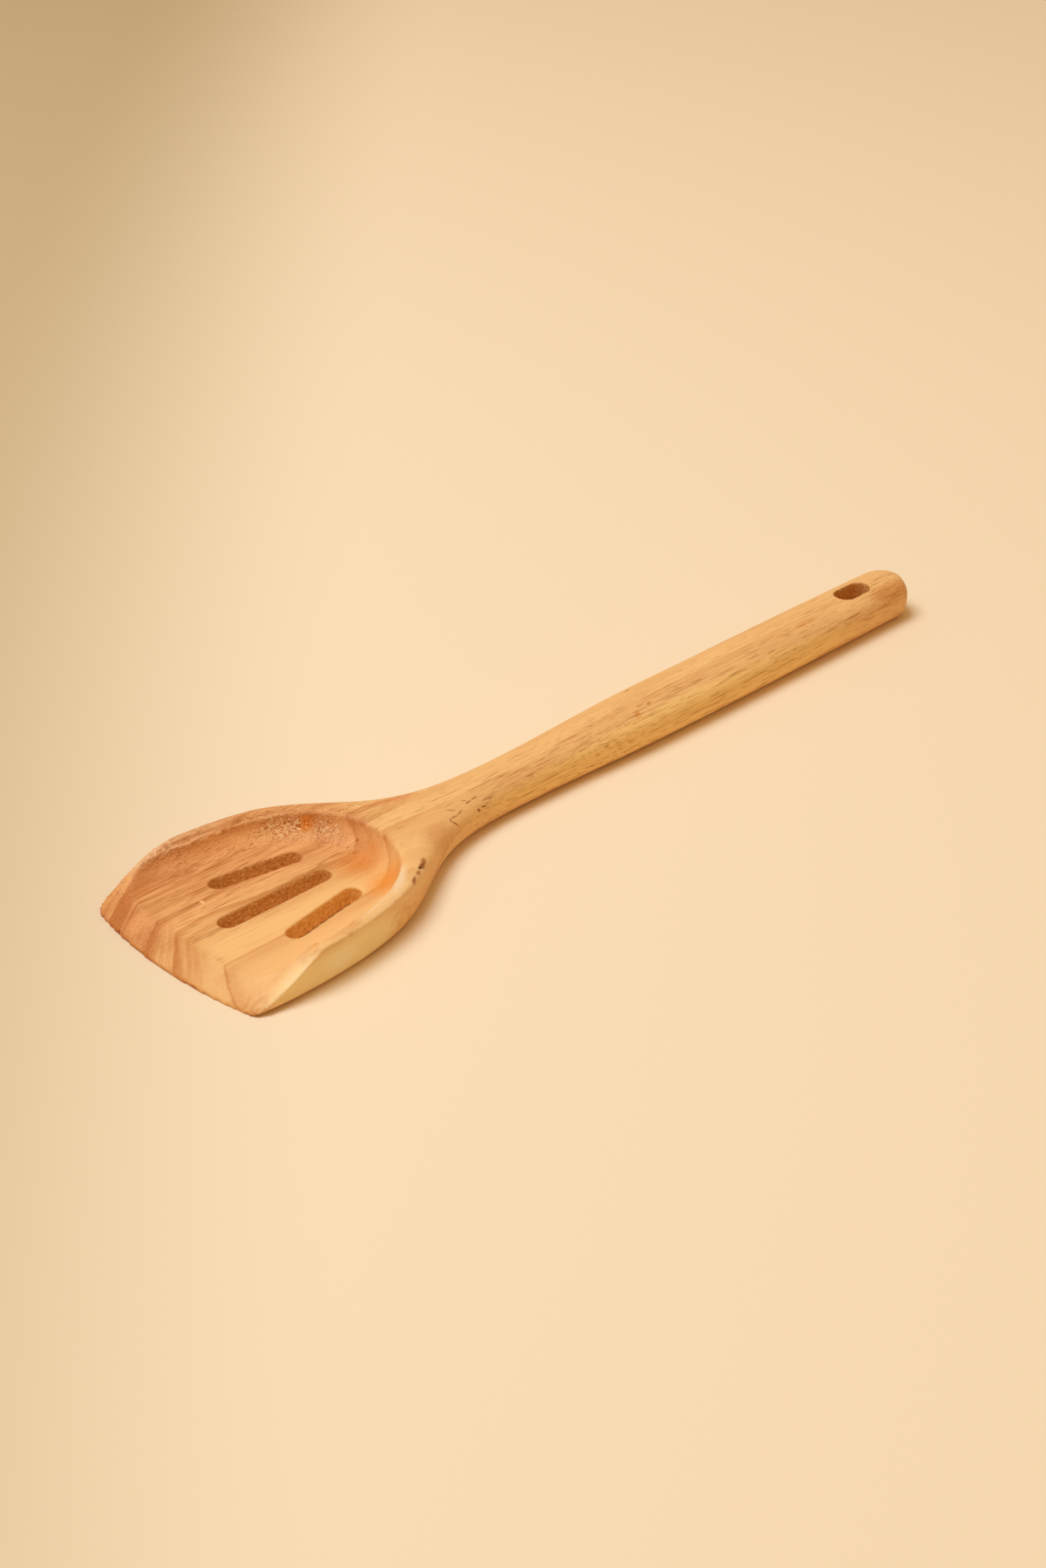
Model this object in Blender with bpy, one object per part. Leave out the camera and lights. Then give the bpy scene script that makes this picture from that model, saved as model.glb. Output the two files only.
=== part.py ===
"""Slotted turner carved from one board of wood.

Units are metres. X runs from the blade's front edge to the end of the handle, Y across the
blade and Z up from the table. The origin is on the table, under the middle of the object.
"""
import math

import bmesh
import bpy
import numpy as np
from mathutils import Matrix, Vector, geometry

# Overall length, from the middle of the front edge to the end of the handle.
# Every place along the object is measured from the middle of the front edge.
LENGTH = 0.330

# Blade, seen from above
FRONT_CHORD = 0.0764         # front edge, straight from corner to corner
FRONT_RADIUS = 0.1640        # bow of the front edge
LEFT_CORNER_RADIUS = 0.0020
RIGHT_CORNER_RADIUS = 0.0008
BLADE_WIDTH = 0.0785
BLADE_WIDEST_AT = 0.0195
SHOULDER_FULLNESS = 0.0747   # how long the sides hold the blade's width towards the neck

# Handle, seen from above
NECK_WIDTH = 0.0187
NECK_AT = 0.1350
NECK_FULLNESS = 0.0598       # how long the neck holds its width towards the blade
SWELL_WIDTH = 0.0229
SWELL_AT = 0.2090
END_WIDTH = 0.0199
END_ROUNDING = 0.0088        # length of the rounded end

# Heights above the table
RIM_HEIGHT = 0.0133
NECK_HEIGHT = 0.0128
SWELL_HEIGHT = 0.0138
END_HEIGHT = 0.0145
FLOOR_THICKNESS = 0.0056
EDGE_THICKNESS = 0.0010

# Cross-sections: 2 is an ellipse, and a large number is nearly a rectangle
BLADE_TOP_SQUARENESS = 40.0
BLADE_FOOT_SQUARENESS = 8.2
HANDLE_TOP_SQUARENESS = 2.4
HANDLE_FOOT_SQUARENESS = 3.2
END_SQUARENESS = 2.46        # of the rounded end, seen from above
BLADE_SECTION_TO = 0.0580    # the section changes from the blade's
HANDLE_SECTION_FROM = 0.1120 # to the handle's between these places
UNDERSIDE_PLANED = 0.0004    # taken off below, so that the object lies flat

# Bevel along the front edge, which also cuts down the two ends of the rim
BEVEL_ANGLE = math.radians(27.5)   # from the table

# Rounding along the front end of the left rim, which falls away before the bevel cuts it
LEFT_END_RADIUS = 0.0408
LEFT_END_FROM = 0.0385       # it starts here
LEFT_END_TO = 0.0245         # and runs on straight from here

# Dish
RIM_WALL = 0.0048            # width of the rim round the dish
LEFT_FRONT_WALL = 0.0011     # width of the left rim at its front end
LEFT_TAPER_FROM = 0.0200     # where it starts to widen
RIM_ROUNDING = 0.0018        # radius between the top of the rim and the dish's wall
REAR_ROUNDING = 0.0008       # the same at the rear, below the neck
DISH_SIDES_TO = 0.0380       # where the sides of the dish start to turn inwards
DISH_END = 0.0820
DISH_SIDE_FULLNESS = 0.0190
DISH_END_FULLNESS = 0.0270
DISH_FILLET = 0.0080         # between the floor and the walls

# Drain slots: a long one on the axis, and a shorter one fanned out on each side
SLOT_WIDTH = 0.0062
MIDDLE_SLOT_LENGTH = 0.0425
OUTER_SLOT_LENGTH = 0.0318
SLOT_REAR_AT = 0.0637
SLOT_SPACING = 0.0139        # between the rear ends
SLOT_FAN = math.radians(9.6)

# Hanging hole
HOLE_LENGTH = 0.0154
HOLE_WIDTH = 0.0080
HOLE_TO_END = 0.0241         # centre of the hole to the end of the handle

# Fineness of the facets
RING_POINTS = 48             # round a cross-section
BLADE_RINGS = 40             # from the front edge to the neck
HANDLE_RINGS = 24            # from the neck to the rounded end
END_RINGS = 9                # over the rounded end
OUTLINE_STEPS = 40           # on each stretch of an outline
FRONT_STEPS = 30             # round the bow of the front edge
ROUND_STEPS = 16             # on each round end of a slot
RIM_ROUND_STEPS = 4          # over the rounding of the rim
LEFT_END_STEPS = 10          # along the rounding of the left rim's front end
DISH_SIDE_STEPS = 16         # along each side of the dish
DISH_REAR_STEPS = 14         # round each half of its rear
FILLET_RESOLUTION = 5        # over the dish's fillet
SHARP_ANGLE = math.radians(30)
SAME_POINT = 0.000001        # points closer together than this are joined

CLEARANCE = 0.0050           # how far a cutter reaches past what it cuts
OVERLAP = 0.0001             # how far two cutters that meet run into each other
BLUNT_END = 0.10             # width of the last ring, as a share of the handle's
END_DROP = 0.36              # how much of its height the handle loses over the rounded end

OBJECT_NAME = "slotted_turner"
BODY_NAME = "turner_body"
WOOD_COLOUR = (0.70, 0.38, 0.15, 1.0)
WOOD_ROUGHNESS = 0.55


def clear_scene():
    """Removes every object, so that the model is all that is left."""
    for obj in list(bpy.data.objects):
        bpy.data.objects.remove(obj, do_unlink=True)


def new_collection(name):
    """A new collection in the scene."""
    collection = bpy.data.collections.new(name)
    bpy.context.scene.collection.children.link(collection)
    return collection


def wood_material():
    """Pale wood with a thin coat of oil."""
    material = bpy.data.materials.new("oiled_wood")
    material.use_nodes = True
    shader = material.node_tree.nodes["Principled BSDF"]
    shader.inputs["Base Color"].default_value = WOOD_COLOUR
    shader.inputs["Roughness"].default_value = WOOD_ROUGHNESS
    shader.inputs["Metallic"].default_value = 0.0
    return material


def bezier(start, first_handle, second_handle, end, steps=OUTLINE_STEPS):
    """Points of one Bezier stretch, without its last one."""
    knots = [Vector((*point, 0.0)) for point in (start, first_handle, second_handle, end)]
    points = geometry.interpolate_bezier(*knots, steps)
    return [(point.x, point.y) for point in points[:-1]]


def level_stretch(start, end, leaving, arriving):
    """A Bezier stretch that leaves and arrives along X."""
    return bezier(start, (start[0] + leaving, start[1]), (end[0] - arriving, end[1]), end)


def corner_place():
    """Place of the two front corners, which lie behind the middle of the bowed edge."""
    return FRONT_RADIUS - math.sqrt(FRONT_RADIUS ** 2 - (FRONT_CHORD / 2) ** 2)


def plan_line():
    """Half width against place, before the corners and the end are rounded."""
    corner = (corner_place(), FRONT_CHORD / 2)
    widest = (BLADE_WIDEST_AT, BLADE_WIDTH / 2)
    neck = (NECK_AT, NECK_WIDTH / 2)
    swell = (SWELL_AT, SWELL_WIDTH / 2)
    end = (LENGTH, END_WIDTH / 2)
    flare = (widest[0] - corner[0]) / 2
    neck_to_swell = (swell[0] - neck[0]) / 2
    swell_to_end = (end[0] - swell[0]) / 2
    line = level_stretch(corner, widest, 0.0, flare)
    line += level_stretch(widest, neck, SHOULDER_FULLNESS, NECK_FULLNESS)
    line += level_stretch(neck, swell, neck_to_swell, neck_to_swell)
    line += level_stretch(swell, end, swell_to_end, 0.0)
    return np.array(line + [end])


def height_line():
    """Height against place, before the front is bevelled and the end is rounded."""
    rim = (BLADE_SECTION_TO, RIM_HEIGHT)
    neck = ((HANDLE_SECTION_FROM + NECK_AT) / 2, NECK_HEIGHT)
    swell = (SWELL_AT, SWELL_HEIGHT)
    end = (LENGTH, END_HEIGHT)
    line = [(-CLEARANCE, RIM_HEIGHT)]
    for start, stop in ((rim, neck), (neck, swell), (swell, end)):
        reach = (stop[0] - start[0]) / 2
        line += level_stretch(start, stop, reach, reach)
    return np.array(line + [end])


def end_share(place):
    """What is left of the handle's width at a place on its rounded end."""
    into_end = (place - (LENGTH - END_ROUNDING)) / END_ROUNDING
    if into_end <= 0.0:
        return 1.0
    left = max(1.0 - into_end ** END_SQUARENESS, 0.0)
    return max(left ** (1.0 / END_SQUARENESS), BLUNT_END)


def half_width(plan, place, corner_radius):
    """Half width of one side, with its front corner and the handle's end rounded."""
    width = float(np.interp(place, plan[:, 0], plan[:, 1]))
    before_side = min(max(corner_place() + corner_radius - place, 0.0), corner_radius)
    corner_loss = corner_radius - math.sqrt(corner_radius ** 2 - before_side ** 2)
    return (width - corner_loss) * end_share(place)


def smooth_share(place, start, stop):
    """0 up to the start, 1 from the stop, and an even S-curve between them."""
    share = min(max((place - start) / (stop - start), 0.0), 1.0)
    return share * share * (3.0 - 2.0 * share)


def power(value, exponent):
    """A power that keeps the sign of its value."""
    return math.copysign(abs(value) ** exponent, value)


def section_height(heights, place):
    """Height of the middle of the cross-section, and half the height of the section."""
    top = float(np.interp(place, heights[:, 0], heights[:, 1]))
    half_height = (top + UNDERSIDE_PLANED) / 2
    half_height *= 1.0 - END_DROP * (1.0 - end_share(place))
    return (top - UNDERSIDE_PLANED) / 2, half_height


def squareness(place, blade, handle):
    """The section's squareness: its inverse changes evenly, so that the corners do too."""
    share = smooth_share(place, BLADE_SECTION_TO, HANDLE_SECTION_FROM)
    return 1.0 / ((1.0 - share) / blade + share / handle)


def section(plan, heights, place):
    """Points round the cross-section at a place."""
    left = half_width(plan, place, LEFT_CORNER_RADIUS)
    right = half_width(plan, place, RIGHT_CORNER_RADIUS)
    middle, half_height = section_height(heights, place)
    top_exponent = 2 / squareness(place, BLADE_TOP_SQUARENESS, HANDLE_TOP_SQUARENESS)
    foot_exponent = 2 / squareness(place, BLADE_FOOT_SQUARENESS, HANDLE_FOOT_SQUARENESS)
    points = []
    for turn in np.linspace(0.0, 2 * math.pi, RING_POINTS, endpoint=False):
        across, up = math.cos(turn), math.sin(turn)
        exponent = top_exponent if up > 0.0 else foot_exponent
        side = left if across > 0.0 else right
        points.append((place, side * power(across, exponent),
                       middle + half_height * power(up, exponent)))
    return points


def ring_places():
    """Places of the cross-sections, closest together where the shape turns fastest."""
    blade = np.linspace(-CLEARANCE, NECK_AT, BLADE_RINGS, endpoint=False)
    handle = np.linspace(NECK_AT, LENGTH - END_ROUNDING, HANDLE_RINGS, endpoint=False)
    turn = np.linspace(0.0, math.pi / 2, END_RINGS)
    end = LENGTH - END_ROUNDING * (1.0 - np.sin(turn))
    return np.concatenate([blade, handle, end])


def blank(collection, material):
    """The board sawn to the plan and rounded over: a loft through the cross-sections.

    It starts in front of the front edge, which the front cutter gives its shape.
    """
    plan, heights = plan_line(), height_line()
    bm = bmesh.new()
    rings = [[bm.verts.new(point) for point in section(plan, heights, place)]
             for place in ring_places()]
    for ring, following in zip(rings, rings[1:]):
        for i in range(RING_POINTS):
            j = (i + 1) % RING_POINTS
            bm.faces.new((ring[i], ring[j], following[j], following[i]))
    bm.faces.new(reversed(rings[0]))
    bm.faces.new(rings[-1])
    bmesh.ops.recalc_face_normals(bm, faces=bm.faces)
    mesh = bpy.data.meshes.new(BODY_NAME)
    bm.to_mesh(mesh)
    bm.free()
    mesh.materials.append(material)
    body = bpy.data.objects.new(BODY_NAME, mesh)
    collection.objects.link(body)
    return body


def mesh_of(curve_object):
    """The closed mesh of a curve, which is removed."""
    bpy.context.scene.collection.objects.link(curve_object)
    bpy.context.view_layer.update()
    evaluated = curve_object.evaluated_get(bpy.context.evaluated_depsgraph_get())
    mesh = bpy.data.meshes.new_from_object(evaluated)
    placed = curve_object.matrix_world.copy()
    name = curve_object.name
    bpy.data.objects.remove(curve_object, do_unlink=True)
    bm = bmesh.new()
    bm.from_mesh(mesh)
    bmesh.ops.remove_doubles(bm, verts=bm.verts, dist=SAME_POINT)
    bmesh.ops.recalc_face_normals(bm, faces=bm.faces)
    bm.to_mesh(mesh)
    bm.free()
    solid = bpy.data.objects.new(name, mesh)
    solid.matrix_world = placed
    return solid


def add_points(curve, points, cyclic):
    """A run of straight stretches through the points."""
    spline = curve.splines.new("POLY")
    spline.points.add(len(points) - 1)
    for point, place in zip(spline.points, points):
        point.co = (*place, 1.0)
    spline.use_cyclic_u = cyclic


def prism(name, outline, low, high, rounding=0.0):
    """A mesh made from an outline, from one height to another, its edges rounded."""
    curve = bpy.data.curves.new(name, "CURVE")
    curve.dimensions = "2D"
    curve.fill_mode = "BOTH"
    curve.extrude = (high - low) / 2 - rounding
    curve.bevel_depth = rounding
    curve.bevel_resolution = FILLET_RESOLUTION
    curve.offset = -rounding
    add_points(curve, [(x, y, 0.0) for x, y in outline], True)
    drawn = bpy.data.objects.new(name, curve)
    drawn.location.z = (low + high) / 2
    return mesh_of(drawn)


def sweep(name, profile, path, sizes):
    """A solid whose cross-section follows a path, upright all the way, with a size at each point."""
    outline = bpy.data.curves.new(name + "_profile", "CURVE")
    outline.dimensions = "2D"
    add_points(outline, [(x, y, 0.0) for x, y in profile], True)
    drawn = bpy.data.objects.new(name + "_profile", outline)
    bpy.context.scene.collection.objects.link(drawn)
    curve = bpy.data.curves.new(name, "CURVE")
    curve.dimensions = "3D"
    curve.twist_mode = "Z_UP"
    curve.bevel_mode = "OBJECT"
    curve.bevel_object = drawn
    curve.use_fill_caps = True
    add_points(curve, path, False)
    for point, size in zip(curve.splines[0].points, sizes):
        point.radius = size
    solid = mesh_of(bpy.data.objects.new(name, curve))
    bpy.data.objects.remove(drawn, do_unlink=True)
    return solid


def cut(body, collection, cutter):
    """Takes a cutter away from the body."""
    collection.objects.link(cutter)
    cutter.display_type = "WIRE"
    cutter.hide_render = True
    cutter.parent = body
    boolean = body.modifiers.new(cutter.name, "BOOLEAN")
    boolean.operation = "DIFFERENCE"
    boolean.solver = "EXACT"
    boolean.object = cutter


def planing_cutter():
    """Block under the table's level, which leaves the underside flat."""
    side = BLADE_WIDTH / 2 + CLEARANCE
    front, rear = -2 * CLEARANCE, LENGTH + CLEARANCE
    outline = [(front, -side), (rear, -side), (rear, side), (front, side)]
    return prism("planing_cutter", outline, -CLEARANCE, 0.0)


def front_cutter():
    """Bowed front edge with its bevel, turned about the centre of the bow."""
    top = RIM_HEIGHT + CLEARANCE
    bevel_reach = (top - EDGE_THICKNESS) / math.tan(BEVEL_ANGLE)
    inner = FRONT_RADIUS - bevel_reach
    outer = FRONT_RADIUS + corner_place() + 2 * CLEARANCE
    profile = [(FRONT_RADIUS, -CLEARANCE), (FRONT_RADIUS, EDGE_THICKNESS), (inner, top),
               (outer, top), (outer, -CLEARANCE)]
    half_turn = math.asin((BLADE_WIDTH / 2 + CLEARANCE) / inner)
    bm = bmesh.new()
    start = Matrix.Rotation(math.pi - half_turn, 3, "Z")
    face = bm.faces.new([bm.verts.new(start @ Vector((r, 0.0, z))) for r, z in profile])
    bmesh.ops.spin(bm, geom=[face, *face.edges, *face.verts], cent=(0.0, 0.0, 0.0),
                   axis=(0.0, 0.0, 1.0), angle=2 * half_turn, steps=FRONT_STEPS)
    bmesh.ops.translate(bm, verts=bm.verts, vec=(FRONT_RADIUS, 0.0, 0.0))
    bmesh.ops.recalc_face_normals(bm, faces=bm.faces)
    mesh = bpy.data.meshes.new("front_cutter")
    bm.to_mesh(mesh)
    bm.free()
    return bpy.data.objects.new("front_cutter", mesh)


def left_wall(place):
    """Width of the left rim, which is thinner at its front end."""
    share = smooth_share(place, LEFT_TAPER_FROM, DISH_SIDES_TO)
    return LEFT_FRONT_WALL + (RIM_WALL - LEFT_FRONT_WALL) * share


def right_wall(place):
    """Width of the right rim, the same all along."""
    return RIM_WALL


def dish_half_outline(wall):
    """Half of the dish's outline inside one rim, from in front of the front edge to the rear."""
    plan = plan_line()
    places = np.linspace(corner_place(), DISH_SIDES_TO, DISH_SIDE_STEPS)
    widths = np.interp(places, plan[:, 0], plan[:, 1])
    side = [(x, y - wall(x)) for x, y in zip(places, widths)]
    slope = (widths[-1] - widths[-2]) / (places[-1] - places[-2])
    turn = side.pop()
    rear = bezier(turn, (turn[0] + DISH_SIDE_FULLNESS, turn[1] + slope * DISH_SIDE_FULLNESS),
                  (DISH_END, DISH_END_FULLNESS), (DISH_END, 0.0), DISH_REAR_STEPS)
    front = [(-DISH_FILLET - CLEARANCE, side[0][1])]
    return front + side + rear


def dish_outline():
    """The dish's outline, from its left front corner round the rear to its right one."""
    left, right = dish_half_outline(left_wall), dish_half_outline(right_wall)
    return left + [(DISH_END, 0.0)] + [(x, -y) for x, y in reversed(right)]


def dish_cutter():
    """Dish inside the rim, open at the front, its floor filleted into its walls."""
    height = RIM_HEIGHT + CLEARANCE + DISH_FILLET
    return prism("dish_cutter", dish_outline(), FLOOR_THICKNESS, height, DISH_FILLET)


def crest_height(plan, heights, place, across):
    """Height of the blank's top at a place and a distance from the axis."""
    middle, half_height = section_height(heights, place)
    exponent = squareness(place, BLADE_TOP_SQUARENESS, HANDLE_TOP_SQUARENESS)
    reach = min(abs(across) / float(np.interp(place, plan[:, 0], plan[:, 1])), 1.0)
    return middle + half_height * (1.0 - reach ** exponent) ** (1.0 / exponent)


def left_end_drop(place):
    """How far the rounding of the left rim's front end lies below the top of the rim."""
    into_end = min(max(LEFT_END_FROM - place, 0.0), LEFT_END_FROM - LEFT_END_TO)
    return LEFT_END_RADIUS - math.sqrt(LEFT_END_RADIUS ** 2 - into_end ** 2)


def left_end_cutter():
    """Waste over the front end of the left rim: above an arc that runs on as a straight slope."""
    places = np.linspace(LEFT_END_FROM, LEFT_END_TO, LEFT_END_STEPS)
    outline = [(x, RIM_HEIGHT - left_end_drop(x)) for x in places]
    turn = math.asin((LEFT_END_FROM - LEFT_END_TO) / LEFT_END_RADIUS)
    front = LEFT_END_TO / 2
    outline.append((front, outline[-1][1] - (LEFT_END_TO - front) * math.tan(turn)))
    top = RIM_HEIGHT + CLEARANCE
    outline += [(front, top), (LEFT_END_FROM + CLEARANCE, top),
                (LEFT_END_FROM + CLEARANCE, RIM_HEIGHT)]
    cutter = prism("left_end_cutter", outline, 0.0, BLADE_WIDTH)
    cutter.matrix_world = Matrix.Rotation(math.pi / 2, 4, "X") @ cutter.matrix_world
    cutter.location.y = BLADE_WIDTH / 2
    return cutter


def rim_cutter():
    """Rounding of the rim's inner edge: the waste round a quarter circle, swept along it.

    The edge gets crisper from the sides of the dish to its rear, and where the left rim thins.
    """
    turns = np.linspace(math.pi, math.pi / 2, RIM_ROUND_STEPS + 1)
    profile = [(RIM_ROUNDING * (1.0 + math.cos(turn)) - OVERLAP,
                RIM_ROUNDING * (math.sin(turn) - 1.0) + OVERLAP) for turn in turns]
    profile += [(profile[-1][0], RIM_ROUNDING), (-RIM_ROUNDING, RIM_ROUNDING),
                (-RIM_ROUNDING, profile[0][1])]
    plan, heights = plan_line(), height_line()
    path = []
    sizes = []
    for x, y in dish_outline():
        left = y > 0.0
        crest = crest_height(plan, heights, x, y)
        path.append((x, y, crest - left_end_drop(x) if left else crest))
        wall = left_wall(x) if left else right_wall(x)
        rear = np.interp(x, (DISH_SIDES_TO, DISH_END), (1.0, REAR_ROUNDING / RIM_ROUNDING))
        sizes.append(rear * wall / RIM_WALL)
    return sweep("rim_cutter", profile, path, sizes)


def slot_outline(length, width):
    """Outline with round ends, centred on the origin, its length along X."""
    radius = width / 2
    outline = []
    for end, start_turn in ((1, -math.pi / 2), (-1, math.pi / 2)):
        for turn in np.linspace(start_turn, start_turn + math.pi, ROUND_STEPS):
            outline.append((end * (length / 2 - radius) + radius * math.cos(turn),
                            radius * math.sin(turn)))
    return outline


def slot_cutters():
    """The three drain slots, with their rear ends in line."""
    rear_centre = SLOT_REAR_AT - SLOT_WIDTH / 2
    cutters = []
    for name, side, length in (("left", 1, OUTER_SLOT_LENGTH), ("middle", 0, MIDDLE_SLOT_LENGTH),
                               ("right", -1, OUTER_SLOT_LENGTH)):
        outline = slot_outline(length, SLOT_WIDTH)
        cutter = prism(name + "_slot_cutter", outline, -CLEARANCE, FLOOR_THICKNESS + CLEARANCE)
        to_centre = (length - SLOT_WIDTH) / 2
        turn = -side * SLOT_FAN
        cutter.location.x = rear_centre - to_centre * math.cos(turn)
        cutter.location.y = side * SLOT_SPACING - to_centre * math.sin(turn)
        cutter.rotation_euler.z = turn
        cutters.append(cutter)
    return cutters


def hole_cutter():
    """Hanging hole, straight through the handle."""
    outline = slot_outline(HOLE_LENGTH, HOLE_WIDTH)
    cutter = prism("hole_cutter", outline, -CLEARANCE, END_HEIGHT + CLEARANCE)
    cutter.location.x = LENGTH - HOLE_TO_END
    return cutter


def build():
    """The whole turner: a rounded blank, planed, bevelled, dished and drilled."""
    clear_scene()
    parts = new_collection(OBJECT_NAME)
    cutters = new_collection("cutters")
    body = blank(parts, wood_material())
    for cutter in (planing_cutter(), dish_cutter(), left_end_cutter(), rim_cutter(),
                   front_cutter(), *slot_cutters(), hole_cutter()):
        cut(body, cutters, cutter)
    body.location.x = -LENGTH / 2
    body.data.shade_smooth()
    body.data.set_sharp_from_angle(angle=SHARP_ANGLE)


build()
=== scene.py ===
"""A slotted turner carved from one oiled board, dressed for its picture.

The board's growth rings run round one centre line, the pith, which lay above the near side of the
blade. Every ring, streak and pore below is worked out from there, so the figure bends where the
bevel, the dish and the rim cut through it.

The finish measures in millimetres: along, from the front edge towards the end of the handle;
across, from the middle towards the far side; and up, from the underside.
"""

import math

import bmesh
import bpy
from mathutils import Euler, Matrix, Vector, noise


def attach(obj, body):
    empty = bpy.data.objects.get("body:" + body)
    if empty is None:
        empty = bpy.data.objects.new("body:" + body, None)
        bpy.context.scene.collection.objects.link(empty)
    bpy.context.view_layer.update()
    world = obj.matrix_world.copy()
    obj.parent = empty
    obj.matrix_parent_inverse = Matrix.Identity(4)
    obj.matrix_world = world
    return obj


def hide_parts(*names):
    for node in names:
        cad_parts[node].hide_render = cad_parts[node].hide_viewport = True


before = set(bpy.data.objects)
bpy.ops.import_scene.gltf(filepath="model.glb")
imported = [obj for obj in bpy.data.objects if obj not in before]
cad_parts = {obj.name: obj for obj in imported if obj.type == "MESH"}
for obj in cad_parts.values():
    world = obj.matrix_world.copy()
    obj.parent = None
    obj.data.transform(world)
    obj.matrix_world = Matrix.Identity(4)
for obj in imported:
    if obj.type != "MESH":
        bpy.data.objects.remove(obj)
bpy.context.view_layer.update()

BODY = "turner_body"
MM = 1000.0
FRONT = 165.0                # from the front edge to the turner's middle, in mm

# The sockets of a Mix node that mix colours
MIX_FIRST, MIX_SECOND, MIX_RESULT = 6, 7, 2

NOISE_MIDDLE = 0.5           # what a Noise Texture wavers round


class Signal:
    """A number, a colour or a vector that varies over a surface: one output of a node."""

    def __init__(self, recipe, socket):
        self.recipe = recipe
        self.socket = socket

    def maths(self, operation, *values):
        return self.recipe.node("ShaderNodeMath", {"operation": operation}, *values)

    def __add__(self, other):
        return self.maths("ADD", self, other)

    def __sub__(self, other):
        return self.maths("SUBTRACT", self, other)

    def __rsub__(self, other):
        return self.maths("SUBTRACT", other, self)

    def __mul__(self, other):
        return self.maths("MULTIPLY", self, other)

    def __truediv__(self, other):
        return self.maths("DIVIDE", self, other)

    __radd__ = __add__
    __rmul__ = __mul__

    def root(self):
        return self.maths("SQRT", self)

    def most(self, other):
        return self.maths("MAXIMUM", self, other)


class Recipe:
    """A material, made one node at a time."""

    def __init__(self, name):
        self.material = bpy.data.materials.new(name)
        self.material.use_nodes = True
        self.tree = self.material.node_tree
        self.shader = self.tree.nodes["Principled BSDF"]

    def node(self, kind, settings=None, *values, output=0, numbered=None, **named):
        """A new node: its settings first, then its sockets, in order, by number or by name."""
        made = self.tree.nodes.new(kind)
        for name, value in (settings or {}).items():
            if name == "stops":
                self.set_stops(made.color_ramp, value)
            else:
                setattr(made, name, value)
        sockets = {**dict(enumerate(values)), **(numbered or {}), **named}
        for key, value in sockets.items():
            self.feed(made.inputs[key], value)
        return Signal(self, made.outputs[output])

    def feed(self, socket, value):
        """Links a signal to a socket, or sets the socket to a plain value."""
        if isinstance(value, Signal):
            self.tree.links.new(value.socket, socket)
        else:
            socket.default_value = value

    def set_stops(self, ramp, stops):
        """Gives a colour ramp its stops: pairs of place and brightness."""
        ramp.interpolation = "LINEAR"
        while len(ramp.elements) > 1:
            ramp.elements.remove(ramp.elements[-1])
        for number, (place, level) in enumerate(stops):
            element = ramp.elements[0] if number == 0 else ramp.elements.new(place)
            element.position = place
            element.color = (level, level, level, 1.0)

    def finish(self, sockets):
        """Feeds the surface itself."""
        for name, value in sockets.items():
            self.feed(self.shader.inputs[name], value)
        return self.material

    def curve(self, value, table):
        """Reads a table of places and levels, drawn straight from each to the next."""
        first, last = table[0][0], table[-1][0]
        stops = [((place - first) / (last - first), level) for place, level in table]
        return self.node("ShaderNodeValToRGB", {"stops": stops}, (value - first) / (last - first))

    def between(self, value, low, high):
        """0 below low, 1 above high, and smooth between them. Low may be the higher one."""
        return self.node("ShaderNodeMapRange", {"interpolation_type": "SMOOTHSTEP"},
                         value, low, high, 0.0, 1.0)

    def blend(self, share, first, second):
        """Two colours mixed: the first where the share is 0, the second where it is 1."""
        return self.node("ShaderNodeMix", {"data_type": "RGBA"}, share, output=MIX_RESULT,
                         numbered={MIX_FIRST: first, MIX_SECOND: second})

    def vector_maths(self, operation, *values, output=0, **named):
        return self.node("ShaderNodeVectorMath", {"operation": operation}, *values,
                         output=output, **named)

    def place(self):
        """Where a point lies, in mm from the middle of the front edge."""
        seen = self.node("ShaderNodeTexCoord", output="Object")
        scaled = self.vector_maths("SCALE", seen, Scale=MM)
        return self.vector_maths("ADD", scaled, (FRONT, 0.0, 0.0))

    def cloud(self, where, detail, roughness, shift):
        """Soft noise round 0, from about -0.5 to 0.5."""
        moved = self.vector_maths("ADD", where, (shift, shift, shift))
        made = self.node("ShaderNodeTexNoise", {"noise_dimensions": "3D"}, Vector=moved,
                         Scale=1.0, Detail=detail, Roughness=roughness)
        return made - NOISE_MIDDLE

    def oval(self, where, centre, reach, turn, core):
        """1 in the core of an oval round a place and 0 outside it. The turn is seen from above."""
        moved = self.node("ShaderNodeMapping", {"vector_type": "TEXTURE"}, where, Location=centre,
                          Rotation=(0.0, 0.0, math.radians(turn)), Scale=reach)
        far = self.vector_maths("LENGTH", moved, output="Value")
        return self.between(far, 1.0, core)

    def attribute(self, name):
        return self.node("ShaderNodeAttribute", {"attribute_name": name}, output="Fac")


def srgb(red, green, blue):
    """A colour as a picture shows it, 0 to 255, turned into the linear values of a shader."""
    def linear(level):
        level /= 255.0
        return level / 12.92 if level <= 0.04045 else ((level + 0.055) / 1.055) ** 2.4
    return (linear(red), linear(green), linear(blue), 1.0)


PALE_NEAR, DARK_NEAR = srgb(246, 194, 127), srgb(203, 128, 62)
PALE_FAR, DARK_FAR = srgb(240, 175, 112), srgb(192, 115, 58)
PORE = srgb(166, 82, 0)
# The next colour is painted shade along the edges where the rim turns over
SHADED_EDGE = srgb(186, 98, 40)
FLECK, TORN = srgb(255, 222, 168), srgb(140, 70, 16)
CUT_WOOD, CUT_PALE = srgb(218, 150, 76), srgb(244, 182, 92)
CUT_FLECK, CUT_DUST = srgb(255, 218, 156), srgb(156, 86, 28)

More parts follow.
